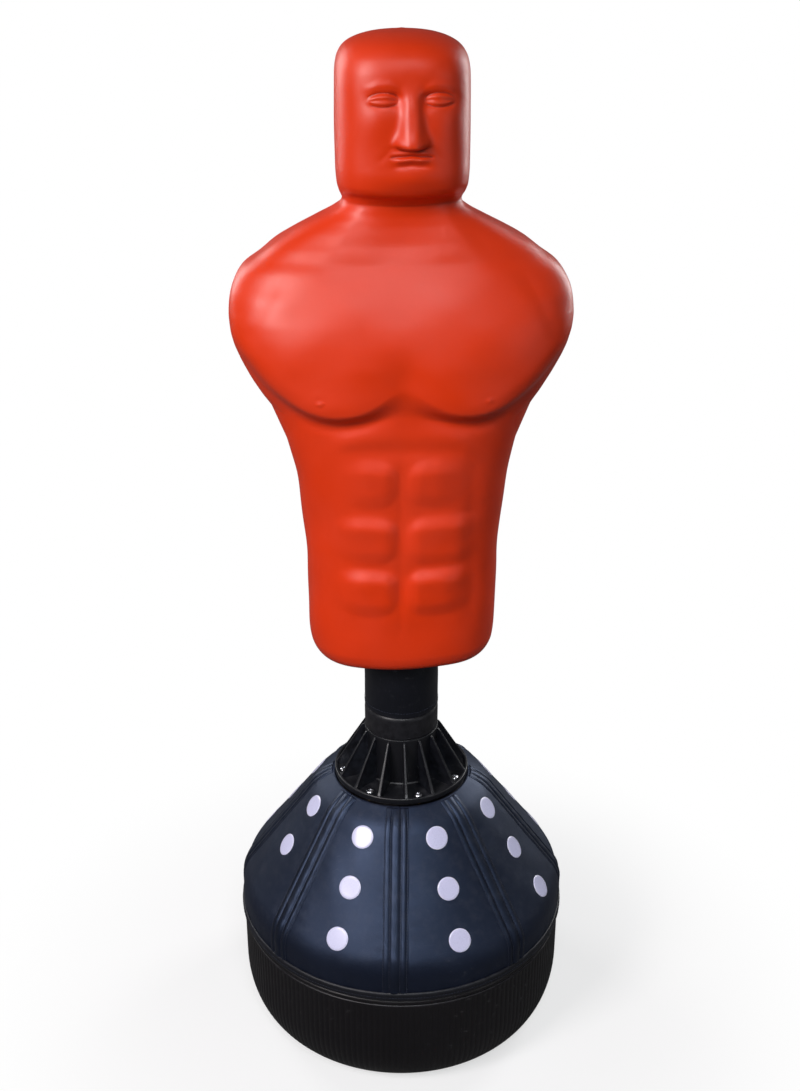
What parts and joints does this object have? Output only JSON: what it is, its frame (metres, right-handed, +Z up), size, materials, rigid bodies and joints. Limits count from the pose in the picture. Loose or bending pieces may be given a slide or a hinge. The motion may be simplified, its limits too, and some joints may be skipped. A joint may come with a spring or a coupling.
{
  "type": "body opponent mannequin",
  "caption": "Free-standing striking dummy: soft armless head and torso on a padded spring column, with a round ballasted base under a sewn cover.",
  "frame": {"origin": "on the ground under the column's axis, at the middle of the base", "axes": "+Z up along the column, front of the figure towards -Y, the figure's left hand side towards +X"},
  "size_m": [0.5734, 0.5734, 1.677],
  "materials": {
    "tank_plastic": "satin",
    "sand": "matte",
    "cup_rubber": "satin",
    "cover_leatherette": "satin",
    "seam_leatherette": "satin",
    "hem_binding": "matte",
    "reflective_film": "gloss",
    "collar_plastic": "satin",
    "seal_rubber": "matte",
    "screw_chrome": "polished",
    "insert_brass": "satin",
    "boot_rubber": "matte",
    "zinc_steel": "satin",
    "spring_steel": "satin",
    "post_steel": "satin",
    "black_plastic": "matte",
    "column_foam": "matte",
    "column_leatherette": "satin",
    "core_plastic": "matte",
    "bush_nylon": "satin",
    "torso_foam": "matte",
    "torso_skin": "satin",
    "cap_plastic": "satin"
  },
  "bodies": {
    "base": {"base_tank": "tank_plastic", "sand_ballast": "sand", "suction_cups": "cup_rubber", "cover_panel_1": "cover_leatherette", "cover_panel_2": "cover_leatherette", "cover_panel_3": "cover_leatherette", "cover_panel_4": "cover_leatherette", "cover_panel_5": "cover_leatherette", "cover_panel_6": "cover_leatherette", "cover_panel_7": "cover_leatherette", "cover_panel_8": "cover_leatherette", "seam_strips": "seam_leatherette", "cover_hem": "hem_binding", "reflective_dots": "reflective_film", "collar": "collar_plastic", "collar_gasket": "seal_rubber", "collar_screws": "screw_chrome", "threaded_inserts": "insert_brass", "neck_boot": "boot_rubber", "lower_spring_socket": "zinc_steel", "socket_bolts": "zinc_steel", "socket_nuts": "zinc_steel"},
    "spring": {"main_spring": "spring_steel"},
    "post": {"upper_spring_socket": "zinc_steel", "post_cross_bolts": "zinc_steel", "post_tube": "post_steel", "post_cap": "black_plastic", "height_pin": "zinc_steel", "pin_ring": "zinc_steel", "column_foam": "column_foam", "column_sleeve": "column_leatherette"},
    "torso": {"torso_core": "core_plastic", "core_plug": "core_plastic", "lower_bush": "bush_nylon", "upper_bush": "bush_nylon", "torso_base_plate": "black_plastic", "plate_screws": "zinc_steel", "torso_foam": "torso_foam", "torso_skin": "torso_skin"},
    "cap_seal": {"filler_seal": "seal_rubber"},
    "cap": {"filler_cap": "cap_plastic"}
  },
  "joints": [
    {"name": "sway_front_back", "type": "hinge", "parent": "base", "child": "spring", "pos_m": [0, 0, 0.56], "axis": [1, 0, 0], "range_deg": [-12, 12], "stiffness_Nm_per_rad": 600, "deforming": ["main_spring"]},
    {"name": "sway_side", "type": "hinge", "parent": "spring", "child": "post", "pos_m": [0, 0, 0.56], "axis": [0, 1, 0], "range_deg": [-12, 12], "stiffness_Nm_per_rad": 600, "deforming": ["main_spring"]},
    {"name": "torso_lift", "type": "slide", "parent": "post", "child": "torso", "axis": [0, 0, 1], "range_m": [0, 0.15]},
    {"name": "cap_travel", "type": "slide", "parent": "base", "child": "cap_seal", "axis": [-0.2343, 0.7662, 0.5984], "range_m": [0, 0.015]},
    {"name": "cap_turn", "type": "hinge", "parent": "cap_seal", "child": "cap", "pos_m": [-0.06154, 0.20127, 0.35867], "axis": [-0.2343, 0.7662, 0.5984], "range_deg": [0, 1080]}
  ],
  "couplings": [
    {"joint": "cap_travel", "follows": "cap_turn", "m_per_rad": 0.00079577}
  ]
}
